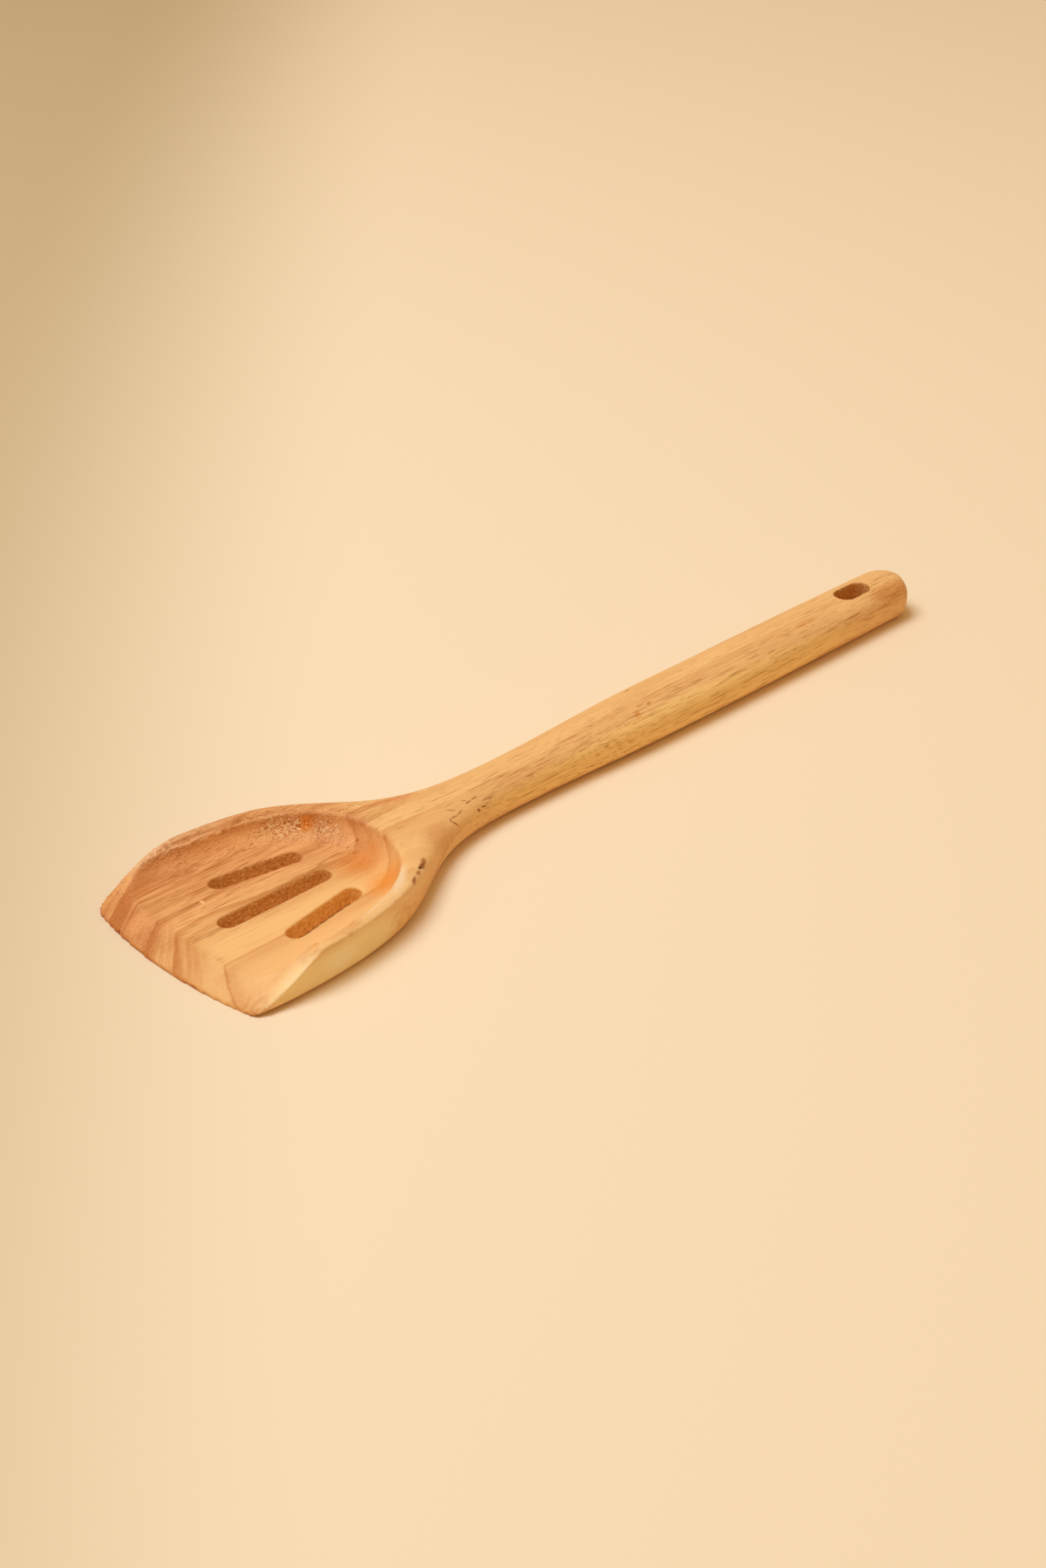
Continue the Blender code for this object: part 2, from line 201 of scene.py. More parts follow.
# Noise in the wood: how far it is drawn out along the grain and across it, its detail, its
# roughness, and a shift that sets it apart from the rest
GRAIN = {
    "drift": (46.0, 24.0, 1.0, 0.5, 0.0),
    "waver": (9.0, 2.2, 2.0, 0.5, 0.0),
    "shiver": (2.6, 0.9, 2.0, 0.5, 7.0),
    "fibres": (26.0, 0.7, 4.0, 0.62, 3.0),
    "bands": (40.0, 5.0, 2.0, 0.5, 13.0),
    "mottling": (6.0, 1.8, 2.0, 0.5, 91.0),
    "short_pores": (9.0, 0.25, 1.0, 0.5, 23.0),
    "long_pores": (20.0, 0.24, 1.0, 0.5, 33.0),
    "pore_drifts": (24.0, 4.0, 1.0, 0.5, 41.0),
    "threads": (34.0, 0.55, 2.0, 0.5, 71.0),
    "specks": (1.3, 0.65, 2.0, 0.7, 53.0),
    "flecks": (1.1, 0.65, 2.0, 0.7, 61.0),
}

# Noise that follows the rings: how fast it changes along the grain, out from the pith and across,
# then its detail, roughness and shift
RING_NOISE = {
    "layers": (0.022, 0.85, 0.02, 3.0, 0.65, 5.0),
    "stripes": (0.05, 1.1, 0.03, 2.0, 0.6, 17.0),
}

# The parts of the turner: each begins at the first value and is fully there at the second
HANDLE = (92.0, 120.0)           # along
BLADE = (88.0, 79.0)             # along, towards the front
FAR_SIDE = (-3.0, 13.0)          # across, moved about by the drift
FAR_DRIFT = 12.0
FRONT_END = (14.0, 6.0)          # along
BEVEL_END = (11.0, 8.5)          # along
BEVEL_SIDE = (-14.0, -8.0)       # across
NEAR_WALL = (-26.0, -34.0)       # across

# Where the pith lay, and how much the rings round it waver, in mm
PITH_ACROSS = -46.0
PITH_UP = 75.0
RING_DRIFT, RING_WAVER, RING_SHIVER = 1.6, 0.5, 0.25

# Growth rings: distance from the pith, and how dark the wood is there. Each ring darkens outwards
# and stops sharply where the next one starts.
RINGS = (
    (56.0, 0.10), (62.4, 0.10), (62.6, 0.42), (65.7, 0.50), (66.0, 0.06), (70.0, 0.08),
    (73.0, 0.20), (75.2, 0.52), (75.6, 0.95), (75.8, 0.02), (79.0, 0.10), (80.5, 0.38),
    (82.0, 0.42), (82.4, 0.18), (83.4, 0.45), (84.9, 0.85), (85.2, 0.12), (88.6, 0.16),
    (89.8, 0.30), (90.1, 0.55), (92.3, 0.72), (92.7, 0.25), (96.0, 0.38), (99.9, 0.45),
    (100.3, 0.85), (100.7, 0.40), (101.6, 0.48), (101.9, 0.85), (106.1, 0.75), (106.4, 0.15),
    (112.0, 0.30), (120.0, 0.30),
)

# The ring round 85 mm wanders: how far it lies out, as a share of the reach, against the distance
# along. It takes the rings beside it along, between the inner limits and the outer ones.
WANDER = ((0.0, 0.0), (6.0, 0.03), (10.0, 0.16), (20.0, 0.24), (26.5, 0.22), (35.7, 0.13),
          (44.0, 0.09), (62.0, 0.09), (76.5, 0.02), (100.0, 0.0))
WANDER_REACH = 10.0
WANDER_INNER, WANDER_OUTER = (77.0, 84.5), (93.0, 88.8)

# How much each part of the figure darkens the wood
RING_DEPTH, FIBRE_DEPTH, BAND_DEPTH, MOTTLING_DEPTH = 0.78, 0.75, 0.5, 1.5
FRONT_DEPTH, HANDLE_DEPTH, BEVEL_DEPTH = 0.25, 0.05, 0.14
HANDLE_CALM = 0.6                # how much fainter the rings are in the handle
LIVELY_NEAR, LIVELY_FAR = 0.55, 0.65  # how strong the fibres are, and what the far side adds

# Pores show where their noise rises over a bar. What raises the bar makes them rarer there.
PORE_BAR = 0.155
PORE_DRIFTS, HANDLE_EVENNESS = 0.26, 0.14
MORE_FAR, MORE_IN_HANDLE = 0.03, 0.01
FEWER_WHERE_SMOOTH, FEWER_IN_FRONT, FEWER_ON_TOP = 0.09, 0.08, 0.05
SMOOTH_SIDE, SMOOTH_MIDDLE = (-15.0, -22.0), (-1.0, -9.0)  # across
SMOOTH_BEHIND_BEVEL = (9.0, 13.0)                          # along
SMOOTH_NECK = ((107.0, -9.0, 11.0), (14.0, 7.0, 9.0), 0, 0.50)
PORELESS_FRONT = (12.0, 7.0)                               # along
HANDLE_TOP, HANDLE_SIDE = (-2.0, 5.0), (2.0, -4.0)         # across
SHORT_PORE, LONG_PORE, THREAD = (0.0, 0.04), (0.005, 0.04), (0.12, 0.20)
THREADS_NEAR, THREADS_FAR, THREADS_IN_HANDLE = 0.25, 0.75, 0.6
PORE_SHARE, THREAD_SHARE = 0.72, 0.45

# Ragged outlines: how fine they are, and how far they move a stain, painted light or shade,
# or a mark
RAGGED_SCALE, RAGGED_DETAIL, RAGGED_ROUGHNESS = 0.8, 3.0, 0.6
PATCH_RAGGED, MARK_RAGGED = (3.0, 3.0, 3.0), (0.9, 0.45, 0.45)
PATCH_FIBRES = 0.6               # how much the fibres show in stains and painted light and shade

# Broad stains and pale places, with painted light and shade among them, as marked: middle in mm
# along, across and up; reach the same way; turn in degrees; core; colour; strength
STAINS_AND_PAINTED_LIGHT = (
    ((74.0, -3.0, 7.0), (15.0, 12.0, 8.0), 0, 0.05, srgb(220, 130, 52), 0.80),
    ((71.5, -17.5, 8.0), (11.0, 9.0, 8.0), 20, 0.20, srgb(234, 142, 48), 0.76),
    ((26.0, -31.0, 6.0), (36.0, 12.5, 7.0), 0, 0.50, srgb(246, 192, 128), 0.60),
    # Painted highlights on the near rim's top: the next three
    ((60.0, -33.0, 12.0), (24.0, 6.0, 5.0), 20, 0.35, srgb(252, 210, 150), 0.60),
    ((68.5, -26.5, 12.3), (11.0, 2.9, 4.0), 40, 0.30, srgb(244, 214, 170), 0.75),
    ((54.0, -32.0, 11.5), (13.0, 2.4, 4.0), 18, 0.30, srgb(246, 210, 158), 0.60),
    ((37.5, -38.0, 9.0), (7.5, 1.1, 2.2), -4, 0.30, srgb(204, 136, 66), 0.50),
    ((95.0, -14.0, 11.0), (11.0, 5.5, 8.0), 24, 0.20, srgb(214, 144, 84), 0.50),
    ((14.0, 31.0, 5.0), (16.0, 3.0, 4.0), 8, 0.30, srgb(202, 116, 58), 0.40),
    # Painted light: the far rim's inner wall made paler
    ((46.0, 30.0, 8.5), (32.0, 5.0, 5.0), -12, 0.40, srgb(250, 180, 116), 0.60),
    # Painted light on the near side's outer wall
    ((50.0, -39.0, 6.0), (62.0, 6.0, 9.0), 0, 0.45, srgb(255, 224, 164), 0.90),
    # Painted light on the handle's near side, which faces away from the lamp
    ((205.0, -10.4, 7.0), (112.0, 4.8, 8.0), 0, 0.60, srgb(255, 208, 131), 0.95),
    # Painted sheen along the handle's far top edge
    ((170.0, 10.5, 12.0), (72.0, 4.0, 4.0), 0, 0.50, srgb(238, 190, 120), 0.50),
    ((262.0, 9.0, 12.0), (42.0, 4.5, 4.0), 0, 0.40, srgb(224, 162, 96), 0.50),
    ((6.0, 20.0, 4.0), (7.0, 5.0, 5.0), 0, 0.30, srgb(240, 168, 108), 0.55),
    ((4.5, 37.0, 4.0), (7.0, 3.0, 4.0), 0, 0.30, srgb(240, 176, 96), 0.60),
    ((97.0, 9.5, 12.0), (13.0, 3.4, 4.0), -14, 0.30, srgb(224, 142, 84), 0.65),
    # Painted sheen along the far rim's outer edge
    ((30.0, 39.0, 10.0), (22.0, 3.0, 6.0), 0, 0.40, srgb(250, 212, 162), 0.60),
    ((318.0, -6.8, 11.0), (14.0, 4.4, 7.0), 0, 0.40, srgb(206, 128, 54), 0.60),
    ((276.0, -4.4, 13.9), (9.0, 1.1, 2.0), 0, 0.20, srgb(214, 140, 70), 0.60),
    ((190.4, -6.7, 12.6), (3.0, 1.6, 2.0), 40, 0.20, srgb(222, 144, 62), 0.60),
    # Painted sheen on the far rim's top
    ((34.0, 36.5, 12.0), (26.0, 3.2, 4.0), -6, 0.40, srgb(246, 190, 136), 0.60),
    # Painted shade along the rear rim's inner edge
    ((80.6, 2.0, 13.0), (2.4, 15.0, 3.0), 4, 0.20, srgb(196, 112, 54), 0.42),
    ((57.0, 27.0, 9.0), (9.0, 4.0, 4.0), -30, 0.30, srgb(252, 190, 124), 0.60),
    # Painted light low on the near side's outer wall
    ((35.0, -38.0, 6.5), (10.0, 4.0, 5.0), 0, 0.30, srgb(255, 234, 190), 0.60),
    # Painted sheen along the far rim's outer edge
    ((37.0, 39.5, 10.5), (11.0, 3.4, 4.0), -6, 0.30, srgb(252, 202, 148), 0.50),
    ((72.0, 21.0, 9.0), (3.4, 2.2, 5.0), -30, 0.35, srgb(228, 128, 22), 0.92),
)

# Small marks in the same columns: knots, curled figure, dashes in the grain and one pale nick
MARKS = (
    ((107.0, -7.55, 12.0), (2.5, 0.38, 1.6), -27, 0.20, srgb(156, 76, 0), 0.74),
    ((108.9, -9.2, 11.1), (2.1, 0.36, 1.6), 20, 0.20, srgb(156, 76, 0), 0.74),
    ((105.8, -10.0, 11.2), (2.6, 0.36, 1.6), 9, 0.20, srgb(156, 76, 0), 0.74),
    ((103.8, -10.7, 11.0), (0.9, 0.42, 1.6), 74, 0.30, srgb(154, 74, 0), 0.78),
    ((104.7, -11.7, 9.9), (1.8, 0.46, 2.4), -37, 0.30, srgb(142, 62, 0), 0.80),
    ((113.4, -6.1, 12.1), (1.1, 0.30, 1.2), -20, 0.40, srgb(148, 62, 0), 0.80),
    ((114.3, -7.15, 11.6), (1.6, 0.32, 1.2), 4, 0.40, srgb(126, 58, 0), 0.70),
    ((117.4, -6.7, 11.7), (1.8, 0.24, 1.2), 5, 0.40, srgb(148, 62, 0), 0.75),
    ((121.9, -8.3, 10.5), (3.8, 0.26, 1.2), 0, 0.40, srgb(138, 66, 0), 0.62),
    ((116.3, -9.9, 9.0), (1.0, 0.40, 1.2), 0, 0.40, srgb(138, 54, 0), 0.80),
    ((118.8, -9.5, 9.3), (1.6, 0.26, 1.2), 0, 0.40, srgb(142, 58, 0), 0.75),
    ((108.0, -5.3, 12.5), (3.6, 0.26, 1.2), 4, 0.30, srgb(176, 112, 28), 0.65),
    ((87.5, -5.6, 13.1), (2.4, 0.28, 1.2), -3, 0.30, srgb(178, 112, 28), 0.60),
    ((81.3, -23.1, 11.5), (2.6, 1.3, 3.2), 38, 0.10, srgb(154, 74, 0), 0.85),
    ((79.2, -24.7, 11.5), (2.8, 1.1, 3.2), 30, 0.25, srgb(126, 50, 0), 0.88),
    ((77.7, -25.4, 11.5), (1.2, 0.7, 3.0), 20, 0.40, srgb(94, 40, 0), 0.90),
    ((75.8, -27.0, 12.0), (2.2, 0.9, 3.0), 30, 0.20, srgb(160, 80, 0), 0.75),
    ((72.0, -29.3, 12.0), (2.8, 0.75, 3.0), 38, 0.30, srgb(148, 68, 0), 0.80),
    ((78.9, 4.7, 7.8), (0.7, 0.7, 1.4), 0, 0.30, srgb(154, 64, 0), 0.70),
    ((198.8, 6.3, 13.0), (2.4, 0.8, 2.0), 8, 0.20, srgb(176, 112, 36), 0.65),
    ((197.5, -5.0, 13.3), (1.8, 0.9, 2.0), 20, 0.20, srgb(180, 116, 34), 0.65),
    ((25.4, 13.4, 5.6), (0.9, 1.5, 2.0), 0, 0.40, srgb(254, 196, 132), 0.85),
    ((1.9, 23.6, 1.0), (0.9, 1.0, 1.2), 0, 0.30, srgb(134, 42, 0), 0.85),
    ((0.5, -13.6, 0.6), (0.8, 2.2, 1.2), 0, 0.30, srgb(176, 84, 10), 0.70),
)

# Torn fibres, in the same columns without a colour: the wall at the left rear, the part of it
# nearer the neck, and the worn top of the left rim
TORN_PLACES = (
    ((66.0, 25.0, 9.0), (11.0, 4.2, 6.0), -38, 0.45, 1.0),
    ((76.0, 15.0, 8.5), (7.0, 3.2, 5.0), -60, 0.40, 0.75),
    ((38.0, 37.0, 12.5), (17.0, 2.6, 4.0), -6, 0.40, 0.4),
)
PALE_SPECK, DARK_SPECK = (0.01, 0.14), (-0.06, -0.15)
PALE_SPECK_SHARE, DARK_SPECK_SHARE = 0.80, 0.7

# Painted shade: a brown line along the edges where the rim turns over
EDGE_BREAKUP = (-0.25, 0.25)
EDGE_SIDE, EDGE_REAR = (-24.0, -12.0), (66.0, 76.0)  # across and along
EDGE_SHARE, EDGE_BREAKUP_SHARE, EDGE_REAR_SHARE = 0.55, 0.15, 0.25

# The rough walls of the slots and of the hanging hole
CUT_PALE_SIDE = (-5.0, -9.0)     # across
PALE_FLECK, DARK_FLECK = (0.02, 0.14), (-0.04, -0.16)
CUT_SHARE, CUT_PALE_SHARE, PALE_FLECK_SHARE, DARK_FLECK_SHARE = 0.9, 0.7, 0.62, 0.5

# Relief and gloss: a thin coat of oil, nearly all of it soaked in
FIBRE_RELIEF, PORE_RELIEF, THREAD_RELIEF, TORN_RELIEF, CUT_RELIEF = 0.25, 0.6, 0.3, 1.8, 1.4
BUMP_STRENGTH, BUMP_DISTANCE = 0.35, 0.0003
ROUGHNESS, FIBRE_ROUGHNESS, TORN_ROUGHNESS, CUT_ROUGHNESS = 0.48, 0.12, 0.2, 0.3
DULLNESS = 0.14


class Board(Recipe):
    """The board's finish. Each step paints its colour and adds to its height and roughness."""

    def __init__(self):
        super().__init__("oiled_wood")
        self.where = self.place()
        self.along, self.across, self.up = (
            self.node("ShaderNodeSeparateXYZ", None, self.where, output=axis) for axis in range(3))
        self.drift = self.grain("drift")
        self.waver = self.grain("waver")
        self.shiver = self.grain("shiver")
        self.fibres = self.grain("fibres")
        self.handle = self.between(self.along, *HANDLE)
        self.far = (self.between(self.across + self.drift * FAR_DRIFT, *FAR_SIDE)
                    * self.between(self.along, *BLADE))
        ragged = self.node("ShaderNodeTexNoise", {"noise_dimensions": "3D"}, Vector=self.where,
                           Scale=RAGGED_SCALE, Detail=RAGGED_DETAIL, Roughness=RAGGED_ROUGHNESS,
                           output="Color")
        ragged = self.vector_maths("SUBTRACT", ragged, (NOISE_MIDDLE,) * 3)
        self.ragged_place = self.vector_maths("MULTIPLY_ADD", ragged, PATCH_RAGGED, self.where)
        self.mark_place = self.vector_maths("MULTIPLY_ADD", ragged, MARK_RAGGED, self.where)
        self.colour = self.figure()
        self.height = self.fibres * FIBRE_RELIEF
        self.roughness = ROUGHNESS + self.fibres * FIBRE_ROUGHNESS

    def grain(self, name):
        """Noise that is drawn out along the grain."""
        along, across, detail, roughness, shift = GRAIN[name]
        where = self.vector_maths("DIVIDE", self.where, (along, across, across))
        return self.cloud(where, detail, roughness, shift)

    def ring_noise(self, name, radius):
        """Noise that follows the rings."""
        along, out, across, detail, roughness, shift = RING_NOISE[name]
        where = self.node("ShaderNodeCombineXYZ", None, self.along * along, radius * out,
                          self.across * across)
        return self.cloud(where, detail, roughness, shift)

    def paint(self, share, tint):
        """Lays a colour over the wood."""
        self.colour = self.blend(share, self.colour, tint)

    def ring_radius(self):
        """How far a point lies from the pith, in rings that waver and wander a little."""
        sideways = self.across - PITH_ACROSS
        upwards = self.up - PITH_UP
        radius = (sideways * sideways + upwards * upwards).root()
        radius = (radius + self.drift * RING_DRIFT + self.waver * RING_WAVER
                  + self.shiver * RING_SHIVER)
        lift = self.between(radius, *WANDER_INNER) * self.between(radius, *WANDER_OUTER)
        return radius - self.curve(self.along, WANDER) * WANDER_REACH * lift

    def figure(self):
        """Growth rings, thin layers within each, fibres along the board and broad soft bands."""
        radius = self.ring_radius()
        lively = LIVELY_NEAR + self.far * LIVELY_FAR
        bevel = self.between(self.along, *BEVEL_END) * self.between(self.across, *BEVEL_SIDE)
        near_wall = self.between(self.across, *NEAR_WALL)
        darkness = (self.curve(radius, RINGS) * (1.0 - self.handle * HANDLE_CALM) * RING_DEPTH
                    + self.ring_noise("layers", radius) * lively * FIBRE_DEPTH
                    + self.fibres * lively * FIBRE_DEPTH
                    + self.grain("bands") * BAND_DEPTH
                    + self.between(self.along, *FRONT_END) * FRONT_DEPTH
                    + self.handle * HANDLE_DEPTH
                    + bevel * (self.ring_noise("stripes", radius) + BEVEL_DEPTH)
                    + near_wall * self.grain("mottling") * MOTTLING_DEPTH)
        return self.blend(darkness, self.blend(self.far, PALE_NEAR, PALE_FAR),
                          self.blend(self.far, DARK_NEAR, DARK_FAR))

    def paint_stains_and_light(self):
        """Stains, pale places and painted light and shade, with ragged outlines."""
        for *place, tint, strength in STAINS_AND_PAINTED_LIGHT:
            share = self.oval(self.ragged_place, *place) * (strength + self.fibres * PATCH_FIBRES)
            self.paint(share, tint)

    def draw_pores(self):
        """Pores: short dark strokes along the grain, longer ones and faint threads."""
        smooth = (self.between(self.across, *SMOOTH_SIDE)
                  + self.between(self.across, *SMOOTH_MIDDLE)
                  * self.between(self.along, *SMOOTH_BEHIND_BEVEL)) * (1.0 - self.handle)
        smooth = smooth.most(self.oval(self.where, *SMOOTH_NECK))
        bar = (PORE_BAR
               - self.grain("pore_drifts") * (PORE_DRIFTS - self.handle * HANDLE_EVENNESS)
               - self.far * MORE_FAR
               + smooth * FEWER_WHERE_SMOOTH
               + self.between(self.along, *PORELESS_FRONT) * FEWER_IN_FRONT
               + self.between(self.across, *HANDLE_TOP) * self.handle * FEWER_ON_TOP
               - self.handle * MORE_IN_HANDLE)
        short = self.between(self.grain("short_pores") - bar, *SHORT_PORE)
        pores = short.most(self.between(self.grain("long_pores") - bar, *LONG_PORE))
        handle_side = self.handle * self.between(self.across, *HANDLE_SIDE)
        threads = self.between(self.grain("threads"), *THREAD) * (
            THREADS_NEAR + self.far * THREADS_FAR + handle_side * THREADS_IN_HANDLE)
        self.paint(pores * PORE_SHARE, PORE)
        self.paint(threads * THREAD_SHARE, PORE)
        self.height = self.height - pores * PORE_RELIEF - threads * THREAD_RELIEF

    def draw_marks(self):
        """Knots, curled figure and dashes in the grain."""
        for *place, tint, strength in MARKS:
            self.paint(self.oval(self.mark_place, *place) * strength, tint)

    def tear_grain(self):
        """Fibres that the cutter tore up, and the rim where they are only worn."""
        specks = self.grain("specks")
        rear, beside_neck, rim = (self.oval(self.ragged_place, *place) * strength
                                  for *place, strength in TORN_PLACES)
        torn = rear.most(beside_neck)
        rough = torn.most(rim)
        self.paint(rough * self.between(specks, *PALE_SPECK) * PALE_SPECK_SHARE, FLECK)
        self.paint(torn * self.between(specks, *DARK_SPECK) * DARK_SPECK_SHARE, TORN)
        self.height = self.height + specks * rough * TORN_RELIEF
        self.roughness = self.roughness + rough * TORN_ROUGHNESS

    def paint_edge_shade(self):
        """Painted shade along the edges where the rim turns over, deepest at the rear."""
        broken_up = self.between(self.shiver + self.waver, *EDGE_BREAKUP)
        share = self.between(self.across, *EDGE_SIDE) * (1.0 - self.handle) * (
            EDGE_SHARE + broken_up * EDGE_BREAKUP_SHARE
            + self.between(self.along, *EDGE_REAR) * EDGE_REAR_SHARE)
        self.paint(self.attribute("edge") * share, SHADED_EDGE)

    def roughen_cuts(self):
        """The walls that the cutters left rough."""
        cut = self.attribute("cut_wall")
        flecks = self.grain("flecks")
        pale = self.between(self.across, *CUT_PALE_SIDE) * CUT_PALE_SHARE
        wall = self.blend(pale, CUT_WOOD, CUT_PALE)
        wall = self.blend(self.between(flecks, *PALE_FLECK) * PALE_FLECK_SHARE, wall, CUT_FLECK)
        wall = self.blend(self.between(flecks, *DARK_FLECK) * DARK_FLECK_SHARE, wall, CUT_DUST)
        self.paint(cut * CUT_SHARE, wall)
        self.height = self.height + flecks * cut * CUT_RELIEF
        self.roughness = self.roughness + cut * CUT_ROUGHNESS


def oiled_wood():
    """The finished material of the board."""
    board = Board()
    board.paint_stains_and_light()
    board.draw_pores()
    board.draw_marks()
    board.tear_grain()
    board.paint_edge_shade()
    board.roughen_cuts()
    normal = board.node("ShaderNodeBump", None, Strength=BUMP_STRENGTH, Distance=BUMP_DISTANCE,
                        Height=board.height)
    return board.finish({"Base Color": board.colour, "Roughness": board.roughness,
                         "Normal": normal, "Specular IOR Level": DULLNESS})


# The sanded surface, in metres
MERGE_WITHIN = 0.000001
VOXEL = 0.00061
SMOOTHING_ROUNDS = 4
SHRINK, SWELL = 0.50, -0.53      # each round draws the surface in and lets it out again
HAND_WAVE = 0.00008              # how far the hand-sanded surface wanders
WAVES_ALONG, WAVES_ACROSS = 40.0, 90.0
EDGE_FROM, EDGE_TO = 0.05, 0.16  # how sharply an edge turns, for the painted shade along it
EDGE_BLUR_ROUNDS = 2

# Where the cutters left rough walls, in metres along, across and up
WALL_TILT = 0.6                  # a wall's normal points up or down less than this
SLOTS_FROM, SLOTS_TO, SLOTS_SIDE, SLOTS_TOP = 0.018, 0.066, 0.024, 0.0054
HOLE_FROM, HOLE_TO, HOLE_SIDE = 0.2960, 0.3160, 0.0046
SLOT_LEAN = 0.0010               # how far a slot's sides are drawn in at the bottom


def added(name, data):
    """A new object in the scene."""
    made = bpy.data.objects.new(name, data)
    bpy.context.scene.collection.objects.link(made)
    return made


def set_attribute(mesh, name, values):
    """Stores one number per vertex for the finish to read."""
    mesh.attributes.new(name, "FLOAT", "POINT").data.foreach_set("value", values)


def in_slots(vert):
    """Whether a point lies among the slots, below the floor of the dish."""
    along, across, up = vert.co.x + FRONT / MM, abs(vert.co.y), vert.co.z
    return SLOTS_FROM < along < SLOTS_TO and across < SLOTS_SIDE and up < SLOTS_TOP


def is_cut_wall(vert):
    """Whether a point lies on the upright wall of a slot or of the hanging hole."""
    if abs(vert.normal.z) > WALL_TILT:
        return False
    along, across = vert.co.x + FRONT / MM, abs(vert.co.y)
    return in_slots(vert) or (HOLE_FROM < along < HOLE_TO and across < HOLE_SIDE)


def slot_lean(vert):
    """How far a point on a slot's wall is drawn in: a guessed taper, which the solids lack."""
    if not in_slots(vert):
        return Vector()
    inwards = Vector((0.0, vert.normal.y, 0.0))
    return inwards * SLOT_LEAN * max(1.0 - vert.co.z / SLOTS_TOP, 0.0)


def edge_sharpness(bm):
    """How sharply the surface turns outwards at each point, from 0 to 1."""
    bm.verts.index_update()
    beside = [[edge.other_vert(vert).index for edge in vert.link_edges] for vert in bm.verts]
    places = [vert.co.copy() for vert in bm.verts]
    turn = []
    for vert, others in zip(bm.verts, beside):
        middle = sum((places[other] for other in others), Vector()) / len(others)
        turn.append((vert.co - middle).dot(vert.normal) / VOXEL)
    for _ in range(EDGE_BLUR_ROUNDS):
        turn = [(here + sum(turn[other] for other in others)) / (len(others) + 1)
                for here, others in zip(turn, beside)]
    return [min(max((here - EDGE_FROM) / (EDGE_TO - EDGE_FROM), 0.0), 1.0) for here in turn]


def remeshed(bm):
    """The same surface in small even faces."""
    mesh = bpy.data.meshes.new("rough_turner")
    bm.to_mesh(mesh)
    rough = added("rough_turner", mesh)
    remesh = rough.modifiers.new("even_faces", "REMESH")
    remesh.mode = "VOXEL"
    remesh.voxel_size = VOXEL
    bpy.context.view_layer.update()
    evaluated = rough.evaluated_get(bpy.context.evaluated_depsgraph_get())
    even = bpy.data.meshes.new_from_object(evaluated)
    bpy.data.objects.remove(rough)
    return even


def sanded_body(material):
    """The carved turner with its edges eased and its facets sanded away."""
    bm = bmesh.new()
    bm.from_mesh(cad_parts[BODY].data)
    bmesh.ops.remove_doubles(bm, verts=bm.verts, dist=MERGE_WITHIN)
    mesh = remeshed(bm)
    bm.free()
    bm = bmesh.new()
    bm.from_mesh(mesh)
    for _ in range(SMOOTHING_ROUNDS):
        for factor in (SHRINK, SWELL):
            bmesh.ops.smooth_vert(bm, verts=bm.verts, factor=factor, use_axis_x=True,
                                  use_axis_y=True, use_axis_z=True)
    bm.normal_update()
    for vert in bm.verts:
        wave = Vector((vert.co.x * WAVES_ALONG, vert.co.y * WAVES_ACROSS,
                       vert.co.z * WAVES_ACROSS))
        vert.co += vert.normal * HAND_WAVE * noise.noise(wave) + slot_lean(vert)
        vert.co.z = max(vert.co.z, 0.0)
    cut = [float(is_cut_wall(vert)) for vert in bm.verts]
    edge = edge_sharpness(bm)
    for face in bm.faces:
        face.smooth = True
    bm.to_mesh(mesh)
    bm.free()
    set_attribute(mesh, "cut_wall", cut)
    set_attribute(mesh, "edge", edge)
    mesh.name = "sanded_turner"
    mesh.materials.clear()
    mesh.materials.append(material)
    body = added("sanded_turner", mesh)
    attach(body, "root")
    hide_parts(BODY)


# The floor's colour in the painted pool of light, and the painted shade it falls off to
FLOOR_COLOUR, FLOOR_SHADED_EDGE = srgb(248, 226, 192), srgb(203, 179, 138)
# The painted pool of light on the floor: its middle, reach, turn and core, like those of a stain
FLOOR_LIT_POOL = ((1042.0, -779.0, 0.0), (1425.0, 4060.0, 1000.0), -42, 0.87)
FLOOR_ROUGHNESS = 0.9
FLOOR_SIZE = 6.0                 # in metres
FLOOR_GAP = 0.00005              # keeps the floor off the turner's flat underside


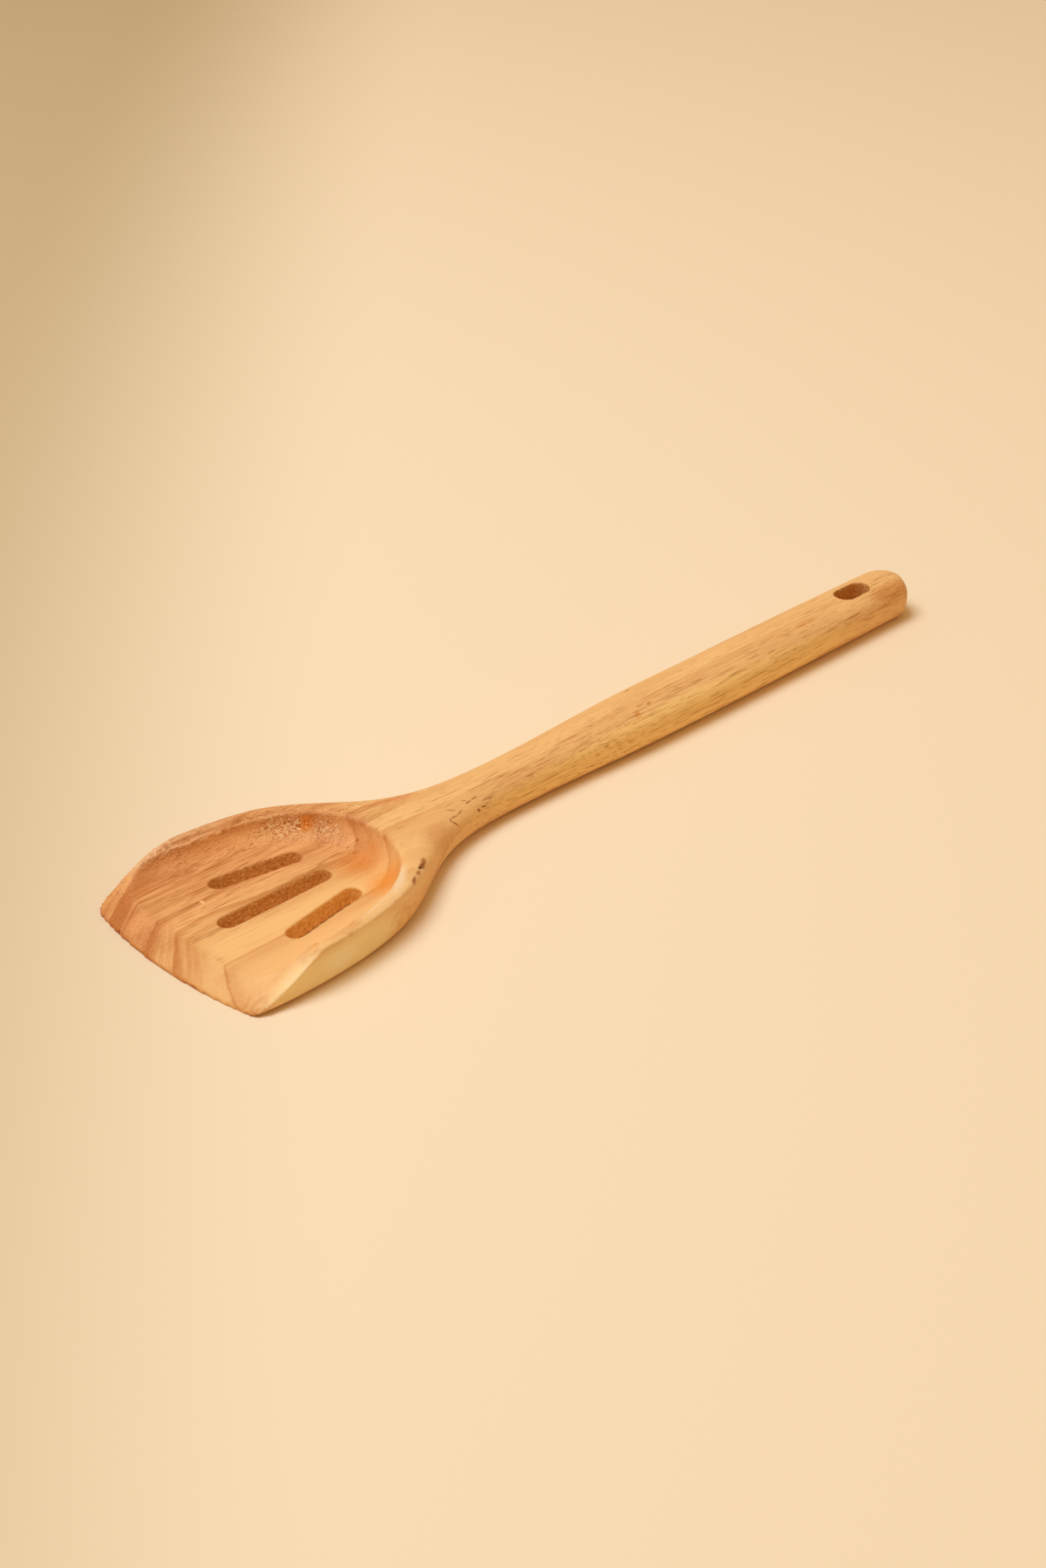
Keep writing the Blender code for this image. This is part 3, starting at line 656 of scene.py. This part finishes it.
def floor():
    """A pale floor with painted light falloff, darker beyond the blade's front and far side."""
    bm = bmesh.new()
    bmesh.ops.create_grid(bm, x_segments=1, y_segments=1, size=FLOOR_SIZE / 2)
    mesh = bpy.data.meshes.new("floor")
    bm.to_mesh(mesh)
    bm.free()
    floor_recipe = Recipe("pale_floor")
    # The painted pool of light, and the painted shade round it
    pale = floor_recipe.oval(floor_recipe.place(), *FLOOR_LIT_POOL)
    colour = floor_recipe.blend(pale, FLOOR_SHADED_EDGE, FLOOR_COLOUR)
    mesh.materials.append(floor_recipe.finish({"Base Color": colour, "Roughness": FLOOR_ROUGHNESS}))
    ground = added("floor", mesh)
    ground.location.z = -FLOOR_GAP


LAMP_PLACE = Vector((-0.55, 0.46, 1.86))
LAMP_SIDE = 1.06
LAMP_POWER = 27.5
LAMP_COLOUR = (0.882, 1.0, 1.16)
ROOM_COLOUR = (1.06, 0.73, 0.35, 1.0)
ROOM_LIGHT = 0.47


def lights():
    """One soft square lamp overhead that faces the turner, in an even, warm room."""
    lamp = bpy.data.lights.new("overhead", "AREA")
    lamp.shape = "SQUARE"
    lamp.size = LAMP_SIDE
    lamp.energy = LAMP_POWER
    lamp.color = LAMP_COLOUR
    holder = added("overhead", lamp)
    holder.location = LAMP_PLACE
    holder.rotation_euler = (-LAMP_PLACE).to_track_quat("-Z", "Y").to_euler()
    world = bpy.data.worlds.new("room")
    world.use_nodes = True
    background = world.node_tree.nodes["Background"]
    background.inputs["Color"].default_value = ROOM_COLOUR
    background.inputs["Strength"].default_value = ROOM_LIGHT
    bpy.context.scene.world = world
    bpy.context.scene.view_settings.view_transform = "Standard"


CAMERA_PLACE = (-0.55009, -0.55101, 0.46618)
CAMERA_TILT, CAMERA_TURN = 58.75, -43.89
FOCAL_LENGTH, SENSOR_WIDTH = 64.04, 36.0
FAR_CLIP = 20.0


def camera():
    """The photograph's view: down at 31 degrees, from in front of the blade's near corner."""
    lens = bpy.data.cameras.new("view")
    lens.sensor_width = SENSOR_WIDTH
    lens.lens = FOCAL_LENGTH
    lens.clip_end = FAR_CLIP
    holder = added("view", lens)
    holder.location = CAMERA_PLACE
    holder.rotation_euler = Euler((math.radians(CAMERA_TILT), 0.0, math.radians(CAMERA_TURN)))
    bpy.context.scene.camera = holder


sanded_body(oiled_wood())
floor()
lights()
camera()
